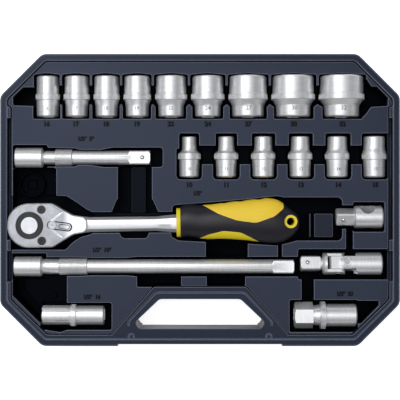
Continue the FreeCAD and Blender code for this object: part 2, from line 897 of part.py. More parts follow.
def handle_region(grow):
    # the shell's surround of the carry handle, open on the near side
    top = handle_base + handle_opening_depth + grow
    wide = handle_opening_widest / 2.0 + grow + 10.0
    return [
        (-wide, near - 5), (wide, near - 5), (wide, near + bottom_rim_width + 0.2, 3.0),
        (handle_opening_top / 2.0 + grow * 0.5, top, 5.0),
        (-handle_opening_top / 2.0 - grow * 0.5, top, 5.0), (-wide, near + bottom_rim_width + 0.2, 3.0),
    ]


def case_shell():
    body = slab(case_outline(), 0, case_height, 10.0)
    edges = []
    for e in body.Edges:
        box = e.BoundBox
        if abs(box.ZMin - box.ZMax) < 0.01:
            edges.append(e)
    body = body.makeChamfer(1.0, edges)
    cavity = slab(inner_outline(0.0), shell_floor, case_height + 1)
    cavity = cavity.cut(slab(handle_region(handle_surround), 0, case_height + 2))
    body = body.cut(cavity)
    hole = slab(handle_opening(0.0), -1, case_height + 1)
    body = body.cut(hole)
    groove = slab(handle_opening(5.8), case_height - 1.4, case_height + 1)
    rib = slab(handle_opening(6.8), case_height - 1.4, case_height + 1)
    body = body.cut(rib.cut(groove).common(block(left, right, handle_base + 3, far, 0, 60)))
    under = block(-handle_opening_widest / 2.0 - 14, handle_opening_widest / 2.0 + 14, near - 1,
                  handle_base + 0.1, -1, handle_underside)
    body = body.cut(under)
    front = block(-handle_opening_widest / 2.0 - 16, handle_opening_widest / 2.0 + 16, near - 1,
                  near + 1.9, -1, case_height + 1)
    body = body.cut(front)
    for x0, x1 in ((left + rim_width, left + rim_width + rim_step + 0.1),
                   (right - rim_width - rim_step - 0.1, right - rim_width)):
        for y0, y1 in ((ratchet_line - 13.6, step_line - 10.0), (long_bar_line - 14.0, long_bar_line + 15.0)):
            body = body.cut(block(x0, x1, y0, y1, ledge_height, case_height + 1))
    line = slab(rim_line(0.0), case_height - 0.7, case_height + 1)
    line = line.cut(slab(rim_line(0.8), case_height - 1, case_height + 2))
    body = body.cut(line)
    pegs = []
    for x in (-1, 1):
        pegs.append(upright(x * 64.3, handle_base - 7.4, 2.9, case_height - 1, case_height + 0.0))
    for peg in pegs:
        ring = peg.copy()
        body = body.cut(ring.cut(upright(peg.BoundBox.Center.x, peg.BoundBox.Center.y, 2.2, 0, 60)))
    return body.removeSplitter()


def rim_line(inset):
    d = rim_width - 0.4 + inset
    c = case_corner
    k = 0.4142
    return [
        (left + d, near + c + d * k, 6.0), (left + c + d * k, near + d, 6.0),
        (right - c - d * k, near + d, 6.0), (right - d, near + c + d * k, 6.0),
        (right - d, far - c - d * k, 6.0), (right - c - d * k, far - d, 6.0),
        (left + c + d * k, far - d, 6.0), (left + d, far - c - d * k, 6.0),
    ]


# ---- tray ----------------------------------------------------------------
# Each recess is (outline, floor height, corner radius).
def top_row_recesses():
    middle = top_row_middle
    low = middle - socket_length / 2.0 - 2.4
    high = middle + socket_length / 2.0 + 2.2
    waist = middle - socket_length * 0.225
    recesses = []
    for row, x in zip(top_row_sizes, top_row_places()):
        floor = top_row_axis_height - row[2] / 2.0 - rest_gap
        wide = row[2] / 2.0 + 1.0
        slim = (drive_square + row[3]) / 2.0 + 2.4
        outline = [
            (x - slim, low, 1.5), (x + slim, low, 1.5), (x + slim, waist - 1.5, 0.5), (x + wide, waist, 0.5),
            (x + wide, high - 1.0, 2.0), (x, high + 0.5, 30.0), (x - wide, high - 1.0, 2.0),
            (x - wide, waist, 0.5), (x - slim, waist - 1.5, 0.5),
        ]
        recesses.append((outline, floor, 1.0))
    first = top_row_places()[0]
    last = top_row_places()[-1]
    recesses.append((rectangle(first, last, waist + 0.6, middle + 10.2), top_row_axis_height - 3.0, 0.5))
    x = first - top_row_sizes[0][2] / 2.0
    scoop = [
        (left + 11.6, middle - 8.8, 1.5), (x + 3, middle - 9.6, 1.5), (x + 3, middle + 8.4, 1.0),
        (x - 11.0, middle + 8.4, 1.0), (left + 11.6, middle - 0.8, 1.5),
    ]
    recesses.append((scoop, 16.0, 1.0))
    x = last + top_row_sizes[-1][2] / 2.0
    scoop = [
        (x - 4, middle - 21.2, 1.5), (x + 1.0, middle - 16.4, 1.0), (x + 5.4, middle - 10.2, 1.5),
        (right - 11.2, middle - 9.4, 1.5), (right - 10.6, middle - 1.4, 1.0), (x + 11.0, middle + 9.0, 1.0),
        (x + 5.8, middle + 9.2, 1.0), (x + 1.4, middle + 16.0, 1.0), (x - 4, middle + 20.8, 1.0),
    ]
    recesses.append((scoop, 16.0, 1.0))
    return recesses


def second_row_recesses():
    middle = second_row_middle
    low = middle - socket_length / 2.0 - 2.4
    high = middle + socket_length / 2.0 + 3.0
    waist = middle - socket_length * 0.06 + band_width + 4.5
    recesses = []
    for row, x in zip(second_row_sizes, second_row_places()):
        floor = second_row_axis_height - row[2] / 2.0 - rest_gap
        wide = row[2] / 2.0 + 1.4
        slim = row[1] / 2.0 + 2.7
        outline = [
            (x - wide, low, 4.0), (x + wide, low, 4.0), (x + wide, waist, 0.5), (x + slim, waist + 0.01, 0.5),
            (x + slim, high, 2.0), (x - slim, high, 2.0), (x - slim, waist + 0.01, 0.5),
            (x - wide, waist, 0.5),
        ]
        recesses.append((outline, floor, 0.5))
    first = second_row_places()[0]
    channel = rectangle(first, right - 11.4, middle - 7.2, middle + 10.6)
    recesses.append((channel, second_row_axis_height - 6.0, 1.0))
    return recesses


def left_side_recesses():
    bar_floor = bar_axis_height - bar_head_diameter / 2.0 - rest_gap
    x0 = short_bar_start
    x1 = x0 + short_bar_length + 12.0
    y = short_bar_line
    r = bar_head_diameter / 2.0
    knurl = bar_knurl_diameter / 2.0 + 0.7
    grip = bar_shaft_diameter / 2.0 + 0.5
    recesses = []
    head = rectangle(left + 11.4, x0 + 31.0, y - r - 1.4, y + r + 2.6)
    recesses.append((head, bar_floor, 2.0))
    shaft = [
        (x0 + 29, y - knurl), (x0 + 56, y - knurl, 3.0), (x0 + 60, y - grip, 6.0), (x0 + 70, y - grip, 6.0),
        (x0 + 84, y - knurl - 0.5, 6.0), (x1, y - knurl - 0.5, 3.0), (x1, y + knurl + 0.7, 3.0),
        (x0 + 92, y + knurl + 0.7, 6.0), (x0 + 80, y + grip, 8.0), (x0 + 62, y + grip, 4.0),
        (x0 + 56, y + knurl, 4.0), (x0 + 29, y + knurl + 0.7),
    ]
    shaft_floor = bar_axis_height - bar_knurl_diameter / 2.0 - rest_gap
    recesses.append((shaft, shaft_floor, 1.0))
    well = rectangle(left + 11.4, left + 52.5, ratchet_line + 21.0, y - r)
    recesses.append((well, 16.0, 3.0))
    return recesses


def ratchet_recesses():
    x = ratchet_x
    y = ratchet_line
    floor = head_low - ratchet_square_reach - rest_gap
    r = ratchet_head_radius
    recesses = []
    head = [
        (left, y - r - 2.2, 1.0), (x + 33.0, y - r - 2.2, 2.0), (x + 39.8, y - 15.8, 4.0),
        (x + 47.6, y - 11.0, 4.0), (x + 60.0, y - 7.6, 6.0), (x + 60.0, y + 11.6, 1.0),
        (x + 52.0, y + 15.6, 4.0), (x + 43.6, y + 21.6, 4.0), (x + 34.0, y + 27.6, 3.0),
        (x + 25.0, y + 28.0, 1.0), (left, y + 28.0, 1.0),
    ]
    recesses.append((head, floor, 1.0))
    shank = [(x + 50, y - 7.4), (x + 134.0, y - 6.8), (x + 134.0, y + 12.9), (x + 50, y + 12.6)]
    recesses.append((shank, ratchet_axis_height - 8.0, 0.5))
    grip = [
        (x + 132.0, y - 10.6, 3.0), (x + 139.0, y - 14.4, 4.0), (x + 160.0, y - 15.4, 20.0),
        (x + 205.0, y - 17.4, 20.0), (x + 232.0, y - 19.0, 12.0), (x + 252.0, y - 14.0, 10.0),
        (x + 259.0, y + 2.0, 10.0), (x + 256.0, y + 22.0, 10.0), (x + 232.0, y + 27.6, 10.0),
        (x + 200.0, y + 24.4, 20.0), (x + 165.0, y + 21.4, 20.0), (x + 133.4, y + 19.0, 3.0),
    ]
    recesses.append((grip, ratchet_axis_height - 15.6, 1.0))
    return recesses


def grip_end_recesses():
    y = ratchet_line
    x0 = ratchet_x + 232.0
    x1 = sliding_head_start + 5.4
    pocket = rectangle(x0, x1, y - 14.4, y + 26.4)
    return [(pocket, 20.0, 5.0)]


def sliding_head_recesses():
    x0 = sliding_head_start
    y = sliding_head_line
    r = sliding_head_diameter / 2.0
    floor = sliding_head_axis_height - r - rest_gap
    recesses = []
    recesses.append((rectangle(x0 + 15.2, sliding_head_end + 1.2, y - r - 3.4, y + r + 3.6), floor, 2.0))
    # lower floor under the cross bore, so that its mouth stays clear of the tray
    under = sliding_bore_diameter / 2.0 + 1.4
    middle = x0 + sliding_bore_offset
    recesses.append((rectangle(middle - under, middle + under, y - r - 3.4, y + r + 3.6), floor - 2.4, 1.0))
    recesses.append((rectangle(x0 - 2.0, x0 + 20.0, y - r - 0.6, y + r + 0.6), floor, 1.0))
    recesses.append((rectangle(x0 + 8.6, x0 + 15.4, y - r - 20.6, y), 18.0, 1.0))
    return recesses


def long_bar_recesses():
    y = long_bar_line
    x0 = long_bar_start
    r = bar_head_diameter / 2.0
    knurl = bar_knurl_diameter / 2.0 + 1.0
    grip = bar_shaft_diameter / 2.0 + 1.7
    wide = knurl + 0.4
    recesses = []
    head = rectangle(left + 9.4, x0 + 31.0, y - r - 3.0, y + r + 3.4)
    recesses.append((head, bar_axis_height - r - rest_gap, 1.5))
    end = x0 + long_bar_length
    shaft = [
        (x0 + 29, y - knurl), (x0 + 62, y - knurl, 4.0), (x0 + 72, y - grip, 4.0), (x0 + 106, y - grip, 4.0),
        (x0 + 116, y - wide, 4.0), (end + 4, y - wide, 1.0), (end + 4, y + wide, 1.0),
        (x0 + 116, y + wide, 4.0), (x0 + 106, y + grip, 4.0), (x0 + 72, y + grip, 4.0),
        (x0 + 62, y + knurl, 4.0), (x0 + 29, y + knurl),
    ]
    recesses.append((shaft, bar_axis_height - bar_knurl_diameter / 2.0 - rest_gap, 1.0))
    return recesses


def joint_recesses():
    y = joint_line
    r = joint_diameter / 2.0
    floor = joint_axis_height - r - 0.2 - rest_gap
    yoke = [
        (joint_start - 3.0, y - 14.6, 2.0), (right - 9.4, y - 14.6, 2.0),
        (right - 9.4, y + 14.2, 2.0), (joint_start - 3.0, y + 14.2, 2.0),
    ]
    return [(yoke, floor, 1.0)]


def middle_recesses():
    y = ratchet_line
    b = long_bar_line
    s = short_bar_line
    recesses = []
    x = ratchet_x + 81.9
    relief = rectangle(x, x + 32.2, y + 12.0, s - 8.6)
    recesses.append((relief, 22.0, 2.0))
    flare = [
        (x - 5.6, y + 11.0), (x + 38.0, y + 11.0), (x + 38.0, y + 12.8, 1.0), (x + 32.0, y + 27.0, 8.0),
        (x, y + 27.0, 8.0), (x - 5.6, y + 12.8, 1.0),
    ]
    recesses.append((flare, 26.0, 1.0))
    arc = [(x + 1.6, y - 6.0), (x + 3.6, y - 12.2, 5.0), (x + 27.6, y - 12.2, 5.0), (x + 29.6, y - 6.0)]
    recesses.append((arc, 26.0, 1.0))
    x = ratchet_x + 164.4
    recesses.append((rectangle(x, x + 39.6, b + 9.0, y - 13.4), 14.0, 1.5))
    recesses.append((rectangle(x + 67.6, x + 71.6, b + 9.0, y - 13.4), 20.0, 0.5))
    x = long_bar_start + 115.6
    recesses.append((rectangle(x, x + 41.6, b - 19.2, b - 7.0), 12.0, 1.5))
    recesses.append((rectangle(x + 65.4, x + 101.6, b - 18.4, b - 7.0), 12.0, 1.5))
    gap = rectangle(joint_start + 0.4, joint_start + 12.2, plug_line + 8.0, joint_line)
    recesses.append((gap, 18.0, 1.0))
    return recesses


def plug_recesses():
    y = plug_line
    recesses = []
    x0 = left_plug_start
    r = plug_diameter / 2.0 + 1.2
    floor = plug_axis_height - r - rest_gap
    recesses.append((rectangle(x0 - 1.0, x0 + plug_length + 7.6, y - r - 3.0, y + r + 2.2), floor, 2.0))
    corner = [
        (left + 11.2, near + 47.0, 3.0), (left + 43.8, near + 14.4, 3.0), (left + 56.0, near + 12.6, 4.0),
        (left + 66.0, near + 16.0, 4.0), (left + 66.0, near + 30.0, 1.0), (left + 40.0, near + 30.0, 1.0),
        (left + 21.4, near + 52.0, 1.0), (left + 21.4, long_bar_line, 1.0), (left + 11.2, long_bar_line, 1.0),
    ]
    recesses.append((corner, 9.0, 1.0))
    shelf = [
        (left + 20.6, near + 48.0, 1.0), (left + 39.0, near + 28.0, 1.0), (left + 62.4, near + 28.0, 1.0),
        (left + 62.4, long_bar_line, 1.0), (left + 20.6, long_bar_line, 1.0),
    ]
    recesses.append((shelf, 25.0, 1.0))
    x0 = right_plug_start
    r = plug_diameter / 2.0 + 3.9
    floor = plug_axis_height - r - rest_gap
    recesses.append((rectangle(x0 - 5.0, x0 + plug_length + 1.0, y - r - 2.4, y + r + 2.2), floor, 2.0))
    x1 = x0 + plug_length
    tail = [
        (x1 - 3.0, y - 8.0), (x1 + 4.0, y - 7.0, 1.0), (x1 + 20.4, y + 9.8, 1.0), (x1 + 20.4, y + 14.4, 1.0),
        (x1 - 3.0, y + 14.4),
    ]
    recesses.append((tail, 20.0, 1.0))
    return recesses


def all_recesses():
    recesses = []
    recesses.extend(top_row_recesses())
    recesses.extend(second_row_recesses())
    recesses.extend(left_side_recesses())
    recesses.extend(ratchet_recesses())
    recesses.extend(grip_end_recesses())
    recesses.extend(sliding_head_recesses())
    recesses.extend(long_bar_recesses())
    recesses.extend(joint_recesses())
    recesses.extend(middle_recesses())
    recesses.extend(plug_recesses())
    return recesses


def grown(face, amount):
    offset = face.makeOffset2D(amount)
    return offset


def raised_blocks():
    # low islands left standing inside the recesses
    y = ratchet_line
    x = ratchet_x
    blocks = []
    blocks.append(slab(rectangle(x + 262.0, x + 263.2, y - 11.0, y + 10.8), 18.5, 33.0, 0.5))
    blocks.append(slab(rectangle(x + 266.6, x + 284.0, y - 11.0, y + 10.8), 18.5, 34.0, 1.0))
    edge = y - ratchet_head_radius
    blocks.append(slab(rectangle(left + 12.0, x + 14.0, edge - 4.6, edge - 1.9), 10.0, 29.0, 0.5))
    ridge = ratchet_x + 94.4
    blocks.append(slab(rectangle(ridge, ridge + 13.2, y + 12.0, short_bar_line - 9.0), 20.5, 30.0, 1.0))
    well = upright(x - 1.0, y + 38.6, 12.4, 14.5, 22.0)
    blocks.append(well.cut(upright(x - 1.0, y + 38.6, 10.6, 16.0, 30.0)))
    blocks.append(upright(left + 48.3, long_bar_line - 27.4, 3.2, 24.0, 28.0))
    return blocks


def tool_tray():
    outline = rounded_face(inner_outline(tray_gap), 1.0)
    keep_off = slab(handle_region(handle_surround + tray_gap), 0, 80)
    plate = lifted(outline, tray_top - tray_plate, tray_top)
    limit = lifted(outline, shell_floor + 0.3, tray_top).cut(keep_off)
    tubs = []
    hollows = []
    for points, floor, radius in all_recesses():
        face = rounded_face(points, radius)
        hollows.append(lifted(face, floor, tray_top + 5))
        tubs.append(lifted(grown(face, tray_wall), floor - tray_wall, tray_top - 0.5))
    body = plate.multiFuse(tubs).common(limit)
    hollow = hollows[0].multiFuse(hollows[1:])
    body = body.cut(hollow)
    body = body.multiFuse(raised_blocks()).common(limit)
    return body.removeSplitter()


make_sockets()
make_bars()
make_sliding_head()
make_joint()
make_plugs()
make_ratchet()
export("case_shell", case_shell())
export("tool_tray", tool_tray())
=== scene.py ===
import bpy
import bmesh
import json
import math
from mathutils import Matrix, Vector
from mathutils.bvhtree import BVHTree


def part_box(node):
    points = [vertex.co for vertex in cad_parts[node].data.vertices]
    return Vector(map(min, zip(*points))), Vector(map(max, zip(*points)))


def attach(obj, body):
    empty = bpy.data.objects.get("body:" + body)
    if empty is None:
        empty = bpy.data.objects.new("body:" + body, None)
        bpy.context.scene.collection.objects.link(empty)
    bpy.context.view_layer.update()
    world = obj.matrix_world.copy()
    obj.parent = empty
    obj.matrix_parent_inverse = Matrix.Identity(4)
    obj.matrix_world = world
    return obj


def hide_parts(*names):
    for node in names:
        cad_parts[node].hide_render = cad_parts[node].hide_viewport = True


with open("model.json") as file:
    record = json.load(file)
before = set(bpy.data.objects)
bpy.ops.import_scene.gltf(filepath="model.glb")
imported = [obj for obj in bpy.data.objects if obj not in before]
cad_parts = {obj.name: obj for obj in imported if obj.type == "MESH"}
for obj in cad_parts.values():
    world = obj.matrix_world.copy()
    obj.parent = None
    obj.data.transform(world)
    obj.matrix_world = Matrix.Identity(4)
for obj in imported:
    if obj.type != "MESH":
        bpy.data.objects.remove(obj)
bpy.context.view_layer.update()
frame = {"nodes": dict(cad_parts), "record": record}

record = frame["record"]
topSizes = [16, 17, 18, 19, 22, 24, 27, 30, 32]
smallSizes = [10, 11, 12, 13, 14, 15]


def addNode(tree, kind, spot, **values):
    node = tree.nodes.new(kind)
    node.location = spot
    for key, value in values.items():
        if hasattr(node, key):
            setattr(node, key, value)
        else:
            node.inputs[key.replace("_", " ")].default_value = value
    return node


def wire(tree, source, sourceSocket, target, targetSocket):
    tree.links.new(source.outputs[sourceSocket], target.inputs[targetSocket])


def newGroup(name, ins, outs):
    group = bpy.data.node_groups.new(name, "ShaderNodeTree")
    for label, kind, value in ins:
        sock = group.interface.new_socket(label, in_out="INPUT", socket_type=kind)
        sock.default_value = value
    for label, kind in outs:
        group.interface.new_socket(label, in_out="OUTPUT", socket_type=kind)
    start = group.nodes.new("NodeGroupInput")
    start.location = (-900, 0)
    end = group.nodes.new("NodeGroupOutput")
    end.location = (700, 0)
    return group, start, end


# moulding grain: pebble height, slow shade drift, a scuff mask and a depth mask
# that is 0 at the top face and 1 deep in the recesses, used to paint shade into the recesses
def makeGrainGroup():
    g, i, o = newGroup("mouldGrainAndDepthShade",
                       [("Scale", "NodeSocketFloat", 900.0), ("Drift", "NodeSocketFloat", 9.0),
                        ("Scuffs", "NodeSocketFloat", 0.5), ("Top", "NodeSocketFloat", 0.038),
                        ("Deep", "NodeSocketFloat", 0.02)],
                       [("Height", "NodeSocketFloat"), ("Shade", "NodeSocketFloat"),
                        ("Scuff", "NodeSocketFloat"), ("Depth", "NodeSocketFloat")])
    tc = addNode(g, "ShaderNodeTexCoord", (-900, 300))
    pebble = addNode(g, "ShaderNodeTexVoronoi", (-500, 300))
    pebble.feature = "SMOOTH_F1"
    wire(g, tc, "Object", pebble, "Vector")
    wire(g, i, "Scale", pebble, "Scale")
    fine = addNode(g, "ShaderNodeTexNoise", (-500, 0), Detail=3.0, Roughness=0.6)
    wire(g, tc, "Object", fine, "Vector")
    wire(g, i, "Scale", fine, "Scale")
    mix = addNode(g, "ShaderNodeMath", (-200, 200), operation="MULTIPLY_ADD")
    mix.inputs[1].default_value = 0.6
    wire(g, pebble, "Distance", mix, 0)
    wire(g, fine, 0, mix, 2)
    wire(g, mix, 0, o, "Height")
    slow = addNode(g, "ShaderNodeTexNoise", (-500, -250), Detail=2.0, Roughness=0.5)
    wire(g, tc, "Object", slow, "Vector")
    wire(g, i, "Drift", slow, "Scale")
    wire(g, slow, 0, o, "Shade")
    stretch = addNode(g, "ShaderNodeMapping", (-700, -500))
    stretch.inputs["Scale"].default_value = (1.0, 7.0, 7.0)
    stretch.inputs["Rotation"].default_value = (0.0, 0.0, 0.6)
    wire(g, tc, "Object", stretch, "Vector")
    scratch = addNode(g, "ShaderNodeTexNoise", (-500, -500), Scale=60.0, Detail=5.0, Roughness=0.7)
    wire(g, stretch, "Vector", scratch, "Vector")
    ramp = addNode(g, "ShaderNodeMapRange", (-200, -500))
    ramp.inputs["From Min"].default_value = 0.62
    ramp.inputs["From Max"].default_value = 0.78
    wire(g, scratch, 0, ramp, "Value")
    keep = addNode(g, "ShaderNodeMath", (100, -500), operation="MULTIPLY")
    wire(g, ramp, 0, keep, 0)
    wire(g, i, "Scuffs", keep, 1)
    wire(g, keep, 0, o, "Scuff")
    parts = addNode(g, "ShaderNodeSeparateXYZ", (-500, -750))
    wire(g, tc, "Object", parts, 0)
    depth = addNode(g, "ShaderNodeMapRange", (-200, -750))
    wire(g, parts, "Z", depth, "Value")
    wire(g, i, "Top", depth, "From Min")
    wire(g, i, "Deep", depth, "From Max")
    wire(g, depth, 0, o, "Depth")
    return g


# plated steel: blast speckle height, faint turning lines along an axis and a smudge mask
def makePlateGroup():
    g, i, o = newGroup("plateFinish",
                       [("Speckle", "NodeSocketFloat", 1400.0), ("Lines", "NodeSocketVector", (1.0, 1.0, 1.0)),
                        ("Smudge", "NodeSocketFloat", 26.0)],
                       [("Height", "NodeSocketFloat"), ("Smear", "NodeSocketFloat"),
                        ("Tone", "NodeSocketFloat")])
    tc = addNode(g, "ShaderNodeTexCoord", (-900, 300))
    speck = addNode(g, "ShaderNodeTexNoise", (-500, 300), Detail=2.0, Roughness=0.55)
    wire(g, tc, "Object", speck, "Vector")
    wire(g, i, "Speckle", speck, "Scale")
    scale = addNode(g, "ShaderNodeVectorMath", (-700, 0), operation="MULTIPLY")
    wire(g, tc, "Object", scale, 0)
    wire(g, i, "Lines", scale, 1)
    turned = addNode(g, "ShaderNodeTexNoise", (-500, 0), Scale=1.0, Detail=4.0, Roughness=0.6)
    wire(g, scale, 0, turned, "Vector")
    both = addNode(g, "ShaderNodeMath", (-200, 200), operation="MULTIPLY_ADD")
    both.inputs[1].default_value = 0.7
    wire(g, turned, 0, both, 0)
    wire(g, speck, 0, both, 2)
    wire(g, both, 0, o, "Height")
    smear = addNode(g, "ShaderNodeTexNoise", (-500, -300), Detail=3.0, Roughness=0.55)
    wire(g, tc, "Object", smear, "Vector")
    wire(g, i, "Smudge", smear, "Scale")
    wire(g, smear, 0, o, "Smear")
    wire(g, turned, 0, o, "Tone")
    return g


grainAndShadeGroup = makeGrainGroup()
plateGroup = makePlateGroup()


def groupNode(tree, group, spot, **values):
    node = tree.nodes.new("ShaderNodeGroup")
    node.node_tree = group
    node.location = spot
    for key, value in values.items():
        node.inputs[key].default_value = value
    return node


def newMaterial(name):
    mat = bpy.data.materials.new(name)
    mat.use_nodes = True
    tree = mat.node_tree
    shader = tree.nodes["Principled BSDF"]
    return mat, tree, shader


def rangeNode(tree, spot, low, high, fromLow=0.3, fromHigh=0.7):
    node = addNode(tree, "ShaderNodeMapRange", spot)
    node.inputs["From Min"].default_value = fromLow
    node.inputs["From Max"].default_value = fromHigh
    node.inputs["To Min"].default_value = low
    node.inputs["To Max"].default_value = high
    return node


def mixColours(tree, spot, mask, maskSocket, first, second):
    node = addNode(tree, "ShaderNodeMix", spot, data_type="RGBA")
    wire(tree, mask, maskSocket, node, 0)
    for slot, colour in ((6, first), (7, second)):
        if isinstance(colour, tuple):
            node.inputs[slot].default_value = (*colour, 1)
        else:
            tree.links.new(colour.outputs[2], node.inputs[slot])
    return node


# rounded edge normals and a mask that is 1 right on an edge, used to paint a highlight colour along edges
def edgeNodes(tree, radius):
    rounded = addNode(tree, "ShaderNodeBevel", (-1000, -400), samples=6)
    rounded.inputs["Radius"].default_value = radius
    flat = addNode(tree, "ShaderNodeNewGeometry", (-1000, -600))
    dot = addNode(tree, "ShaderNodeVectorMath", (-800, -500), operation="DOT_PRODUCT")
    wire(tree, rounded, 0, dot, 0)
    wire(tree, flat, "Normal", dot, 1)
    mask = rangeNode(tree, (-600, -500), 0.0, 1.0, 0.998, 0.93)
    wire(tree, dot, "Value", mask, "Value")
    return rounded, mask


def plasticMaterial(name, spec):
    mat, tree, shader = newMaterial(name)
    shader.inputs["Specular Tint"].default_value = (*spec.get("tint", (1.0, 1.0, 1.0)), 1)
    finish = groupNode(tree, grainAndShadeGroup, (-800, 0), Scale=spec.get("grain", 900.0),
                       Scuffs=spec.get("scuffs", 0.4), Top=spec.get("top", 0.038), Deep=spec.get("deep", 0.018))
    shade = rangeNode(tree, (-600, 250), 0.0, 1.0)
    wire(tree, finish, "Shade", shade, "Value")
    colour = mixColours(tree, (-400, 250), shade, 0, spec["dark"], spec["light"])
    worn = mixColours(tree, (-250, 250), finish, "Scuff", colour, spec["scuff"])
    rounded, edge = edgeNodes(tree, spec.get("round", 0.0005))
    # painted highlight: a lighter colour laid along the edges
    lit = mixColours(tree, (-100, 250), edge, 0, worn, spec.get("edge", spec["scuff"]))
    # painted shade: the colour darkens towards a near-black shade colour deeper in the recesses
    deep = mixColours(tree, (50, 250), finish, "Depth", lit, spec.get("paintedShadeColour", spec["dark"]))
    tree.links.new(deep.outputs[2], shader.inputs["Base Color"])
    # painted shade: the specular level drops deeper in the recesses
    topShine = spec.get("shine", 0.4)
    shine = rangeNode(tree, (50, 50), topShine, spec.get("paintedShadeShine", topShine), 0.0, 1.0)
    wire(tree, finish, "Depth", shine, "Value")
    tree.links.new(shine.outputs[0], shader.inputs["Specular IOR Level"])
    rough = spec["rough"]
    roughness = rangeNode(tree, (-400, -50), rough - 0.06, rough + 0.08)
    wire(tree, finish, "Shade", roughness, "Value")
    tree.links.new(roughness.outputs[0], shader.inputs["Roughness"])
    relief = addNode(tree, "ShaderNodeBump", (-200, -250), Strength=spec.get("bump", 0.12), Distance=0.0002)
    wire(tree, finish, "Height", relief, "Height")
    wire(tree, rounded, 0, relief, "Normal")
    if "streak" in spec:
        tc = addNode(tree, "ShaderNodeTexCoord", (-1200, -900))
        wave = addNode(tree, "ShaderNodeTexWave", (-800, -900), Scale=spec["streak"], Distortion=6.0,
                       Detail=1.5)
        wave.bands_direction = "Y"
        wave.inputs["Detail Scale"].default_value = 0.35
        wire(tree, tc, "Object", wave, "Vector")
        lines = addNode(tree, "ShaderNodeBump", (0, -350), Strength=0.35, Distance=0.0004)
        wire(tree, wave, "Fac", lines, "Height")
        wire(tree, relief, "Normal", lines, "Normal")
        relief = lines
    wire(tree, relief, "Normal", shader, "Normal")
    return mat


def metalMaterial(name, spec):
    mat, tree, shader = newMaterial(name)
    shader.inputs["Metallic"].default_value = spec.get("metallic", 1.0)
    finish = groupNode(tree, plateGroup, (-800, 0), Speckle=spec.get("speckle", 1400.0),
                       Lines=spec.get("lines", (60.0, 60.0, 60.0)), Smudge=26.0)
    tone = rangeNode(tree, (-600, 250), 0.0, 1.0)
    wire(tree, finish, "Tone", tone, "Value")
    colour = mixColours(tree, (-400, 250), tone, 0, spec["dark"], spec["light"])
    rounded, edge = edgeNodes(tree, spec.get("round", 0.00025))
    # painted highlight: a lighter colour laid along the edges
    bright = mixColours(tree, (-200, 250), edge, 0, colour, spec.get("edge", spec["light"]))
    if "polished" in spec:
        # brighter beyond a place along X, where the blasting stops
        coord = addNode(tree, "ShaderNodeTexCoord", (-800, 600))
        along = addNode(tree, "ShaderNodeSeparateXYZ", (-600, 600))
        wire(tree, coord, "Object", along, 0)
        beyond = rangeNode(tree, (-400, 600), 0.0, 1.0, spec["polishedFrom"], spec["polishedFrom"] + 0.006)
        wire(tree, along, "X", beyond, "Value")
        bright = mixColours(tree, (-50, 400), beyond, 0, bright, spec["polished"])
    tree.links.new(bright.outputs[2], shader.inputs["Base Color"])
    rough, spread = spec["rough"], spec.get("spread", 0.05)
    roughness = rangeNode(tree, (-400, -50), rough - spread, rough + spread)
    wire(tree, finish, "Smear", roughness, "Value")
    tree.links.new(roughness.outputs[0], shader.inputs["Roughness"])
    relief = addNode(tree, "ShaderNodeBump", (-200, -250), Strength=spec.get("bump", 0.05), Distance=0.0001)
    wire(tree, finish, "Height", relief, "Height")
    wire(tree, rounded, 0, relief, "Normal")
    wire(tree, relief, "Normal", shader, "Normal")
    return mat


casePlastic = plasticMaterial("casePlastic", {
    "dark": (0.013, 0.017, 0.032), "light": (0.019, 0.024, 0.043), "scuff": (0.036, 0.042, 0.066),
    "edge": (0.22, 0.24, 0.31), "rough": 0.42, "shine": 0.26, "round": 0.0012, "top": 0.0385, "deep": 0.02,
    "paintedShadeColour": (0.003, 0.004, 0.008), "paintedShadeShine": 0.12,
    "tint": (0.66, 0.76, 1.0)})
trayPlastic = plasticMaterial("trayPlastic", {
    "dark": (0.019, 0.024, 0.042), "light": (0.029, 0.035, 0.058), "scuff": (0.038, 0.045, 0.07),
    "edge": (0.26, 0.28, 0.36), "rough": 0.48, "shine": 0.36, "scuffs": 0.3, "round": 0.0011,
    "top": 0.0372, "deep": 0.029,
    "paintedShadeColour": (0.0010, 0.0012, 0.0024), "paintedShadeShine": 0.03,
    "tint": (0.66, 0.76, 1.0)})
# the near-black colour of the raised tray numerals is painted shade for their shadowed relief
markPaintedShade = plasticMaterial("markRelief", {
    "dark": (0.002, 0.002, 0.003), "light": (0.004, 0.004, 0.006), "scuff": (0.01, 0.01, 0.014),
    "rough": 0.5, "shine": 0.15})
satinAcross = metalMaterial("satinAcross", {
    "dark": (0.68, 0.69, 0.71), "light": (0.80, 0.81, 0.82), "edge": (0.94, 0.94, 0.95), "rough": 0.38,
    "metallic": 0.62, "lines": (60.0, 900.0, 60.0)})
satinAlong = metalMaterial("satinAlong", {
    "dark": (0.78, 0.79, 0.81), "light": (0.90, 0.91, 0.92), "edge": (0.96, 0.96, 0.97), "rough": 0.36,
    "metallic": 0.66, "lines": (900.0, 60.0, 60.0)})
knurlSteel = metalMaterial("knurlSteel", {
    "dark": (0.58, 0.59, 0.61), "light": (0.72, 0.73, 0.74), "rough": 0.38, "metallic": 0.85})
etchedSteel = metalMaterial("etchedSteel", {
    "dark": (0.20, 0.20, 0.21), "light": (0.30, 0.30, 0.31), "rough": 0.55})
brightSteel = metalMaterial("brightSteel", {
    "dark": (0.72, 0.72, 0.73), "light": (0.84, 0.84, 0.85), "rough": 0.14, "spread": 0.03})
blastedSteel = metalMaterial("blastedSteel", {
    "dark": (0.27, 0.28, 0.305), "light": (0.38, 0.39, 0.42), "edge": (0.78, 0.78, 0.80), "rough": 0.44,
    "speckle": 2600.0, "lines": (90.0, 90.0, 90.0), "bump": 0.3, "round": 0.0004,
    "polished": (0.68, 0.69, 0.71), "polishedFrom": -0.128})
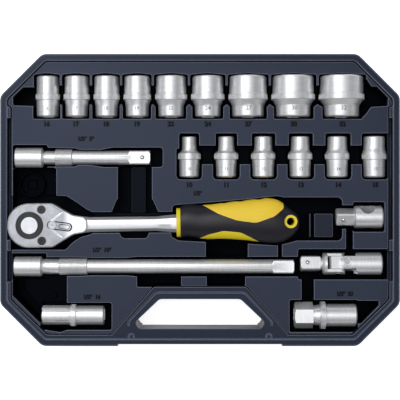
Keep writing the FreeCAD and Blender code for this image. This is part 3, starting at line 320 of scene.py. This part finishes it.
buttonSteel = metalMaterial("buttonSteel", {
    "dark": (0.44, 0.45, 0.48), "light": (0.56, 0.57, 0.60), "edge": (0.85, 0.85, 0.87), "rough": 0.4,
    "speckle": 2600.0, "bump": 0.2, "round": 0.0004})
blackSteel = metalMaterial("blackSteel", {
    "dark": (0.014, 0.014, 0.017), "light": (0.03, 0.03, 0.034), "edge": (0.10, 0.10, 0.11), "rough": 0.4,
    "metallic": 0.6})
insertRubber = plasticMaterial("insertRubber", {
    "dark": (0.008, 0.008, 0.009), "light": (0.014, 0.014, 0.015), "scuff": (0.02, 0.02, 0.02), "rough": 0.7})
gripBlack = plasticMaterial("gripBlack", {
    "dark": (0.009, 0.008, 0.013), "light": (0.014, 0.013, 0.019), "scuff": (0.02, 0.02, 0.025),
    "rough": 0.42, "grain": 1500.0, "bump": 0.08, "scuffs": 0.1, "round": 0.0006, "top": 0.03, "deep": 0.015})
inlayYellow = plasticMaterial("inlayYellow", {
    "dark": (0.94, 0.62, 0.03), "light": (1.0, 0.74, 0.06), "scuff": (0.98, 0.72, 0.12),
    "edge": (0.97, 0.78, 0.2), "rough": 0.4, "grain": 1500.0, "bump": 0.06, "scuffs": 0.1, "streak": 260.0,
    "top": 0.03, "deep": 0.01, "paintedShadeColour": (0.7, 0.45, 0.02)})
lowerYellow = plasticMaterial("lowerYellow", {
    "dark": (0.86, 0.66, 0.008), "light": (0.97, 0.78, 0.012), "scuff": (0.9, 0.72, 0.06),
    "edge": (0.95, 0.88, 0.2), "rough": 0.38, "grain": 1500.0, "bump": 0.06, "scuffs": 0.1,
    "top": 0.03, "deep": 0.01, "paintedShadeColour": (0.6, 0.48, 0.01)})
print("materials ready")


def bodyOf(node):
    for body, members in record["behaviour"]["bodies"].items():
        if node in members:
            return body


def mergedMesh(node):
    # built from bare corners, so no stored normals come along
    source = frame["nodes"][node].data
    mesh = bpy.data.meshes.new(node + "_merged")
    mesh.from_pydata([v.co[:] for v in source.vertices], [], [p.vertices[:] for p in source.polygons])
    bm = bmesh.new()
    bm.from_mesh(mesh)
    bmesh.ops.remove_doubles(bm, verts=bm.verts, dist=0.000002)
    bm.to_mesh(mesh)
    bm.free()
    return mesh


def addPiece(name, mesh, material, body):
    mesh.materials.clear()
    mesh.materials.append(material)
    piece = bpy.data.objects.new(name, mesh)
    bpy.context.scene.collection.objects.link(piece)
    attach(piece, body)
    return piece


def carryOver(node, material, crease=26.0):
    mesh = mergedMesh(node)
    mesh.shade_smooth()
    mesh.set_sharp_from_angle(angle=math.radians(crease))
    piece = addPiece(node + "_finished", mesh, material, bodyOf(node))
    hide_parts(node)
    return piece


for size in topSizes + smallSizes:
    carryOver("socket_%d" % size, satinAcross)
for node in ("plug_socket_16", "plug_socket_21", "short_bar", "long_bar", "sliding_head",
             "joint_drive_yoke", "joint_socket_yoke", "joint_block"):
    carryOver(node, satinAlong)
for node in ("short_bar_ball", "long_bar_ball", "sliding_head_ball", "joint_ball", "ratchet_ball",
             "joint_drive_pin", "joint_socket_pin", "ratchet_pawl_pin"):
    carryOver(node, brightSteel)
for node in ("plug_rubber_16", "plug_rubber_21"):
    carryOver(node, insertRubber)
for node in ("ratchet_body", "ratchet_cover", "ratchet_lever"):
    carryOver(node, blastedSteel)
carryOver("ratchet_button", buttonSteel)
for node in ("ratchet_drive", "ratchet_screws", "ratchet_pawl"):
    carryOver(node, blackSteel)
carryOver("ratchet_grip", gripBlack)
carryOver("ratchet_upper_inlay", inlayYellow)
carryOver("ratchet_lower_inlay", lowerYellow)
carryOver("ratchet_collar", lowerYellow)
carryOver("ratchet_hang_ring", lowerYellow)
carryOver("case_shell", casePlastic)
carryOver("tool_tray", trayPlastic)
print("frame pieces finished")


# knurling: points wrapped round a cylinder, each carrying a rib or a small pyramid
def makeKnurlTree():
    tree = bpy.data.node_groups.new("knurlField", "GeometryNodeTree")
    tree.is_modifier = True
    for label, kind, value in (("Length", "NodeSocketFloat", 0.005), ("Radius", "NodeSocketFloat", 0.01),
                               ("Rows", "NodeSocketInt", 1), ("Around", "NodeSocketInt", 60),
                               ("Turn", "NodeSocketFloat", 6.2), ("Twist", "NodeSocketFloat", 0.0),
                               ("Rib", "NodeSocketVector", (0.004, 0.0004, 0.0003)),
                               ("Diamond", "NodeSocketBool", False), ("Seed", "NodeSocketInt", 7),
                               ("Finish", "NodeSocketMaterial", None)):
        sock = tree.interface.new_socket(label, in_out="INPUT", socket_type=kind)
        if value is not None:
            sock.default_value = value
    tree.interface.new_socket("Geometry", in_out="OUTPUT", socket_type="NodeSocketGeometry")
    i = addNode(tree, "NodeGroupInput", (-1200, 0))
    o = addNode(tree, "NodeGroupOutput", (1000, 0))
    grid = addNode(tree, "GeometryNodeMeshGrid", (-900, 300))
    wire(tree, i, "Length", grid, "Size X")
    grid.inputs["Size Y"].default_value = 1.0
    wire(tree, i, "Rows", grid, "Vertices X")
    wire(tree, i, "Around", grid, "Vertices Y")
    place = addNode(tree, "GeometryNodeInputPosition", (-900, 0))
    split = addNode(tree, "ShaderNodeSeparateXYZ", (-700, 0))
    wire(tree, place, 0, split, 0)
    share = addNode(tree, "ShaderNodeMath", (-500, 0), operation="ADD")
    wire(tree, split, "Y", share, 0)
    share.inputs[1].default_value = 0.5
    angle = addNode(tree, "ShaderNodeMath", (-300, 0), operation="MULTIPLY")
    wire(tree, share, 0, angle, 0)
    wire(tree, i, "Turn", angle, 1)
    lean = addNode(tree, "ShaderNodeMath", (-300, -200), operation="MULTIPLY_ADD")
    wire(tree, split, "X", lean, 0)
    wire(tree, i, "Twist", lean, 1)
    wire(tree, angle, 0, lean, 2)
    across = addNode(tree, "ShaderNodeMath", (-100, 0), operation="SINE")
    wire(tree, lean, 0, across, 0)
    rise = addNode(tree, "ShaderNodeMath", (-100, -200), operation="COSINE")
    wire(tree, lean, 0, rise, 0)
    ring = addNode(tree, "ShaderNodeCombineXYZ", (100, 0))
    wire(tree, across, 0, ring, "Y")
    wire(tree, rise, 0, ring, "Z")
    scaled = addNode(tree, "ShaderNodeVectorMath", (250, 0), operation="SCALE")
    wire(tree, ring, 0, scaled, 0)
    wire(tree, i, "Radius", scaled, "Scale")
    along = addNode(tree, "ShaderNodeCombineXYZ", (100, -250))
    wire(tree, split, "X", along, "X")
    total = addNode(tree, "ShaderNodeVectorMath", (400, 0), operation="ADD")
    wire(tree, scaled, 0, total, 0)
    wire(tree, along, 0, total, 1)
    wrapped = addNode(tree, "GeometryNodeSetPosition", (550, 300))
    wire(tree, grid, "Mesh", wrapped, "Geometry")
    wire(tree, total, 0, wrapped, "Position")
    rib = addNode(tree, "GeometryNodeMeshCube", (200, 600))
    wire(tree, i, "Rib", rib, "Size")
    sizes = addNode(tree, "ShaderNodeSeparateXYZ", (0, 800))
    wire(tree, i, "Rib", sizes, 0)
    point = addNode(tree, "GeometryNodeMeshCone", (200, 850))
    point.inputs["Vertices"].default_value = 4
    wire(tree, sizes, "X", point, "Radius Bottom")
    wire(tree, sizes, "Z", point, "Depth")
    pick = addNode(tree, "GeometryNodeSwitch", (400, 700), input_type="GEOMETRY")
    wire(tree, i, "Diamond", pick, "Switch")
    wire(tree, rib, "Mesh", pick, "False")
    wire(tree, point, "Mesh", pick, "True")
    outward = addNode(tree, "ShaderNodeVectorMath", (400, -250), operation="MULTIPLY")
    wire(tree, place, 0, outward, 0)
    outward.inputs[1].default_value = (0.0, 1.0, 1.0)
    face = addNode(tree, "FunctionNodeAlignRotationToVector", (550, -250))
    face.axis = "Z"
    face.pivot_axis = "X"
    wire(tree, outward, 0, face, "Vector")
    uneven = addNode(tree, "FunctionNodeRandomValue", (400, -450), data_type="FLOAT")
    uneven.inputs[2].default_value = 0.92
    uneven.inputs[3].default_value = 1.04
    wire(tree, i, "Seed", uneven, "Seed")
    spread = addNode(tree, "GeometryNodeInstanceOnPoints", (700, 300))
    wire(tree, wrapped, 0, spread, "Points")
    wire(tree, pick, 0, spread, "Instance")
    wire(tree, face, 0, spread, "Rotation")
    tree.links.new(uneven.outputs[1], spread.inputs["Scale"])
    solid = addNode(tree, "GeometryNodeRealizeInstances", (850, 300))
    wire(tree, spread, 0, solid, 0)
    paint = addNode(tree, "GeometryNodeSetMaterial", (900, 100))
    wire(tree, solid, 0, paint, "Geometry")
    wire(tree, i, "Finish", paint, "Material")
    wire(tree, paint, 0, o, 0)
    return tree


knurlTree = makeKnurlTree()


def knurl(name, body, spot, alongY, spec):
    holder = bpy.data.objects.new(name + "_field", bpy.data.meshes.new(name + "_field"))
    bpy.context.scene.collection.objects.link(holder)
    mod = holder.modifiers.new("knurl", "NODES")
    mod.node_group = knurlTree
    values = dict(spec)
    values["Turn"] = 2 * math.pi * (spec["Around"] - 1) / spec["Around"]
    values["Finish"] = knurlSteel
    for item in knurlTree.interface.items_tree:
        if item.in_out == "INPUT" and item.name in values:
            mod[item.identifier] = values[item.name]
    depsgraph = bpy.context.evaluated_depsgraph_get()
    mesh = bpy.data.meshes.new_from_object(holder.evaluated_get(depsgraph))
    bpy.data.objects.remove(holder)
    turn = Matrix.Rotation(math.radians(90), 4, "Z") if alongY else Matrix.Identity(4)
    mesh.transform(Matrix.Translation(spot) @ turn)
    return addPiece(name, mesh, knurlSteel, body)


band = {"width": 0.0054, "topStart": 0.42, "smallStart": 0.44, "spacing": 0.00105, "rise": 0.00022}
for size in topSizes + smallSizes:
    node = "socket_%d" % size
    low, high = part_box(node)
    radius = (high[0] - low[0]) / 2
    start = band["topStart"] if size > 15 else band["smallStart"]
    middle = low[1] + (high[1] - low[1]) * start + band["width"] / 2
    spot = Vector(((low[0] + high[0]) / 2, middle, (low[2] + high[2]) / 2))
    count = int(2 * math.pi * radius / band["spacing"])
    knurl(node + "_knurl", node, spot, True,
          {"Length": 0.0, "Radius": radius, "Rows": 1, "Around": count, "Seed": size,
           "Rib": (band["width"] - 0.0012, band["spacing"] * 0.55, band["rise"])})

plugBands = {"plug_socket_16": (0.0268, 0.0054), "plug_socket_21": (0.0246, 0.0046)}
for node, (start, width) in plugBands.items():
    low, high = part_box(node)
    radius = (high[2] - low[2]) / 2
    spot = Vector((low[0] + start + width / 2, (low[1] + high[1]) / 2, (low[2] + high[2]) / 2))
    knurl(node + "_knurl", node, spot, False,
          {"Length": 0.0, "Radius": radius, "Rows": 1, "Around": int(2 * math.pi * radius / band["spacing"]),
           "Seed": 3, "Rib": (width - 0.001, band["spacing"] * 0.55, band["rise"])})

barKnurls = {"short_bar": (0.0384, 0.0148), "long_bar": (0.0433, 0.0247)}
barKnurl = {"radius": 0.00802, "pitch": 0.00105, "around": 44, "twist": 64.0}
for node, (start, length) in barKnurls.items():
    low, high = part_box(node)
    spot = Vector((low[0] + start + length / 2, (low[1] + high[1]) / 2, (low[2] + high[2]) / 2))
    knurl(node + "_knurl", node, spot, False,
          {"Length": length, "Radius": barKnurl["radius"], "Rows": int(length / barKnurl["pitch"]),
           "Around": barKnurl["around"], "Twist": barKnurl["twist"], "Seed": 11, "Diamond": True,
           "Rib": (0.0006, 0.0006, 0.00036)})
print("knurling made")


def textMesh(text, size, bold, raised):
    curve = bpy.data.curves.new("word", "FONT")
    curve.body = text
    curve.size = size
    curve.align_x = "CENTER"
    curve.align_y = "CENTER"
    curve.extrude = raised / 2
    curve.offset = bold
    curve.resolution_u = 3
    holder = bpy.data.objects.new("word", curve)
    bpy.context.scene.collection.objects.link(holder)
    depsgraph = bpy.context.evaluated_depsgraph_get()
    mesh = bpy.data.meshes.new_from_object(holder.evaluated_get(depsgraph))
    bpy.data.objects.remove(holder)
    return mesh


# numerals moulded on the tray: text, the tool beside it and the offset from that tool's box
marks = {"height": 0.0058, "bold": 0.00042, "raise": 0.0003, "below": 0.0072, "smallBelow": 0.0075}
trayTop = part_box("tool_tray")[1][2]


def mark(text, name, x, y, size):
    mesh = textMesh(text, size, marks["bold"], marks["raise"])
    mesh.transform(Matrix.Translation((x, y, trayTop + marks["raise"] / 2 + 0.00001)))
    # the numerals take the near-black painted shade colour
    return addPiece(name, mesh, markPaintedShade, "case")


for size in topSizes + smallSizes:
    low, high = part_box("socket_%d" % size)
    drop = marks["below"] if size > 15 else marks["smallBelow"]
    mark(str(size), "sizeMark%d" % size, (low[0] + high[0]) / 2, low[1] - drop, marks["height"])
toolMarks = [
    ("1/2\"  5\"", "short_bar", 0.0668, 0.0080), ("1/2\"  10\"", "long_bar", 0.0826, 0.0063),
    ("1/2\"", "ratchet_grip", 0.0160, 0.0062), ("1/2\"  16", "plug_socket_16", 0.0475, 0.0074),
    ("1/2\"  21", "plug_socket_21", 0.0470, 0.0076),
]
for text, node, right, above in toolMarks:
    low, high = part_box(node)
    mark(text, node + "_mark", low[0] + right, high[1] + above, 0.0050)
print("tray numerals placed")


# size numbers etched on the tools, laid over the surface below them
etching = {"bold": 0.00008, "longestEdge": 0.0008, "lift": 0.00005, "above": 0.2, "start": 0.0075,
           "large": 0.0058, "middle": 0.0046, "small": 0.0040}


def etch(text, node, x, y, size):
    mesh = textMesh(text, size, etching["bold"], 0.0)
    mesh.transform(Matrix.Translation((x, y, 0)))
    bm = bmesh.new()
    bm.from_mesh(mesh)
    longEdges = [e for e in bm.edges if e.calc_length() > etching["longestEdge"]]
    bmesh.ops.subdivide_edges(bm, edges=longEdges, cuts=2)
    target = bmesh.new()
    target.from_mesh(frame["nodes"][node].data)
    tree = BVHTree.FromBMesh(target)
    for vert in bm.verts:
        hit = tree.ray_cast(Vector((vert.co.x, vert.co.y, etching["above"])), Vector((0, 0, -1)))[0]
        vert.co.z = (hit.z if hit else 0.03) + etching["lift"]
    target.free()
    bm.to_mesh(mesh)
    bm.free()
    return addPiece(node + "_etch", mesh, etchedSteel, bodyOf(node))


for size in topSizes + smallSizes:
    low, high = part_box("socket_%d" % size)
    height = etching["large"] if size > 22 else etching["middle"] if size > 17 else etching["small"]
    etch(str(size), "socket_%d" % size, (low[0] + high[0]) / 2, low[1] + etching["start"], height)
print("etched numbers placed")


# ratchet head details, in the ratchet's own axes about its drive centre
head = {"tilt": 0.8, "seamWidth": 0.0008, "lipWidth": 0.0006, "leverTurn": -8.0, "leverX": 0.0216}
low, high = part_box("ratchet_button")
headSpot = Vector(((low[0] + high[0]) / 2, (low[1] + high[1]) / 2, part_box("ratchet_cover")[1][2]))
headFrame = Matrix.Translation(headSpot) @ Matrix.Rotation(math.radians(head["tilt"]), 4, "Z")
leverFrame = (headFrame @ Matrix.Translation((head["leverX"], 0, 0))
              @ Matrix.Rotation(math.radians(head["leverTurn"]), 4, "Z"))


def ribbon(points, width, base, top, closed):
    # flat strip of even width along a path of 2-D points
    bm = bmesh.new()
    rows = []
    count = len(points)
    for n in range(count):
        before = points[n - 1] if (closed or n > 0) else points[n]
        after = points[(n + 1) % count] if (closed or n < count - 1) else points[n]
        way = (Vector(after) - Vector(before)).normalized()
        side = Vector((-way.y, way.x)) * width / 2
        here = Vector(points[n])
        rows.append([bm.verts.new((*(here - side), base)), bm.verts.new((*(here - side), top)),
                     bm.verts.new((*(here + side), top)), bm.verts.new((*(here + side), base))])
    for n in range(count if closed else count - 1):
        a, b = rows[n], rows[(n + 1) % count]
        for k in range(4):
            bm.faces.new((a[k], a[(k + 1) % 4], b[(k + 1) % 4], b[k]))
    if not closed:
        bm.faces.new(rows[0])
        bm.faces.new(list(reversed(rows[-1])))
    bmesh.ops.recalc_face_normals(bm, faces=bm.faces)
    mesh = bpy.data.meshes.new("ribbon")
    bm.to_mesh(mesh)
    bm.free()
    return mesh


vee = {"tip": 0.0155, "far": 0.0306, "half": 0.0118, "radius": 0.0042, "lipOffset": 0.00085}


def veePath(shift):
    # both legs of the vee with a rounded tip
    tip, far = vee["tip"] + shift, vee["far"] + shift * 0.6
    half, radius = vee["half"], vee["radius"]
    slope = math.atan2(half, far - tip)
    centre = tip + radius / math.sin(slope)
    points = [(far, -half)]
    for n in range(9):
        turn = math.radians(-90) - slope + (2 * slope - math.pi) * n / 8
        points.append((centre + radius * math.cos(turn), radius * math.sin(turn)))
    points.append((far, half))
    return points


def pillPath(x0, x1, radius, steps=8):
    points = []
    for n in range(steps + 1):
        turn = math.radians(-90) + math.pi * n / steps
        points.append((x1 - radius + radius * math.cos(turn), radius * math.sin(turn)))
    for n in range(steps + 1):
        turn = math.radians(90) + math.pi * n / steps
        points.append((x0 + radius + radius * math.cos(turn), radius * math.sin(turn)))
    return points


def headPiece(name, mesh, where, material, body):
    mesh.transform(where)
    return addPiece(name, mesh, material, body)


headPiece("head_seam", ribbon(veePath(0.0), head["seamWidth"], -0.0002, 0.00004, False), headFrame,
          blackSteel, "ratchet")
for shift, label in ((-vee["lipOffset"], "inner"), (vee["lipOffset"], "outer")):
    lip = ribbon(veePath(shift), head["lipWidth"], -0.0002, 0.00012, False)
    headPiece("head_lip_" + label, lip, headFrame, brightSteel, "ratchet")
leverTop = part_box("ratchet_lever")[1][2] - headSpot.z
slotRibbon = ribbon(pillPath(0.0064, 0.0162, 0.0019), 0.0007, leverTop - 0.0002, leverTop + 0.00008, True)
headPiece("lever_slot", slotRibbon, leverFrame, blackSteel, "ratchet_lever")
headPiece("lever_shadow", ribbon(pillPath(-0.0048, 0.0180, 0.0036), 0.0010, 0.00002, 0.0003, True),
          leverFrame, blackSteel, "ratchet")
headPiece("lever_rivet", ribbon(pillPath(-0.0021, 0.0021, 0.002, 12), 0.0005, 0.0017, 0.0021, True),
          leverFrame, brightSteel, "ratchet_lever")
print("ratchet head detailed")


# staked ring round the upper end of the pin in the socket fork
pinRing = {"radius": 0.0039, "width": 0.0008, "base": 0.0086, "top": 0.01035, "lean": -14.0}
low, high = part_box("joint_socket_pin")
pinFrame = (Matrix.Translation([(a + b) / 2 for a, b in zip(low, high)])
            @ Matrix.Rotation(math.radians(pinRing["lean"]), 4, "X"))
ringPoints = []
for n in range(24):
    turn = 2 * math.pi * n / 24
    ringPoints.append((pinRing["radius"] * math.cos(turn), pinRing["radius"] * math.sin(turn)))
headPiece("pin_ring", ribbon(ringPoints, pinRing["width"], pinRing["base"], pinRing["top"], True), pinFrame,
          brightSteel, bodyOf("joint_socket_yoke"))
print("joint pin ringed")


# square locating mark standing on the floor of the round well
wellMark = {"half": 0.0042, "width": 0.0011, "x": -0.1603, "y": 0.0148, "floor": 0.016, "rise": 0.0014}
side = wellMark["half"]
square = ribbon([(-side, -side), (side, -side), (side, side), (-side, side)], wellMark["width"], 0.0,
                wellMark["rise"], True)
square.transform(Matrix.Translation((wellMark["x"], wellMark["y"], wellMark["floor"])))
addPiece("well_mark", square, trayPlastic, "case")
print("well mark placed")


view = {"height": 1.035, "field": 21.3}
floorMesh = bpy.data.meshes.new("floor")
reach = 4.0
floorMesh.from_pydata([(-reach, -reach, 0), (reach, -reach, 0), (reach, reach, 0), (-reach, reach, 0)], [],
                      [(0, 1, 2, 3)])
floor = bpy.data.objects.new("floor", floorMesh)
floor.location.z = -0.0005
bpy.context.scene.collection.objects.link(floor)
floorMat, _, floorShader = newMaterial("paper")
floorShader.inputs["Base Color"].default_value = (0.93, 0.93, 0.93, 1)
floorShader.inputs["Roughness"].default_value = 0.9
floorShader.inputs["Emission Color"].default_value = (1, 1, 1, 1)
floorShader.inputs["Emission Strength"].default_value = 0.8
floorMesh.materials.append(floorMat)


def softbox(name, spot, aim, width, depth, power):
    data = bpy.data.lights.new(name, "AREA")
    data.shape = "RECTANGLE"
    data.size = width
    data.size_y = depth
    data.energy = power
    lamp = bpy.data.objects.new(name, data)
    bpy.context.scene.collection.objects.link(lamp)
    lamp.location = spot
    lamp.rotation_mode = "QUATERNION"
    lamp.rotation_quaternion = (Vector(spot) - Vector(aim)).to_track_quat("Z", "Y")
    return lamp


softbox("key", (-0.50, 0.45, 1.15), (0, 0, 0), 0.8, 0.7, 7)
softbox("over", (0.0, 0.0, 1.6), (0, 0, 0), 0.7, 0.7, 2.4)

world = bpy.data.worlds.new("studio")
bpy.context.scene.world = world
world.use_nodes = True
wt = world.node_tree
backdrop = wt.nodes["Background"]
skyCoord = addNode(wt, "ShaderNodeTexCoord", (-800, 0))
split = addNode(wt, "ShaderNodeSeparateXYZ", (-600, 0))
wire(wt, skyCoord, "Generated", split, 0)
sky = addNode(wt, "ShaderNodeValToRGB", (-400, 0))
wire(wt, split, "Z", sky, 0)
wire(wt, sky, "Color", backdrop, "Color")
skyStops = [(0.0, 0.35), (0.30, 0.75), (0.42, 0.62), (0.52, 0.14), (0.72, 0.14), (0.86, 0.62), (1.0, 0.84)]
for place, level in skyStops[1:-1]:
    sky.color_ramp.elements.new(place)
for stop, (place, level) in zip(sky.color_ramp.elements, skyStops):
    stop.position = place
    stop.color = (level, level, level * 1.02, 1)
backdrop.inputs["Strength"].default_value = 0.85

camera = bpy.data.objects.new("camera", bpy.data.cameras.new("camera"))
bpy.context.scene.collection.objects.link(camera)
camera.data.sensor_width = 36
camera.data.lens = 18 / math.tan(math.radians(view["field"] / 2))
camera.location = (0, 0, view["height"])
camera.rotation_euler = (0, 0, 0)
camera.data.clip_start = 0.01
camera.data.clip_end = 50
bpy.context.scene.camera = camera
bpy.context.scene.view_settings.view_transform = "Standard"
print("light and camera set")
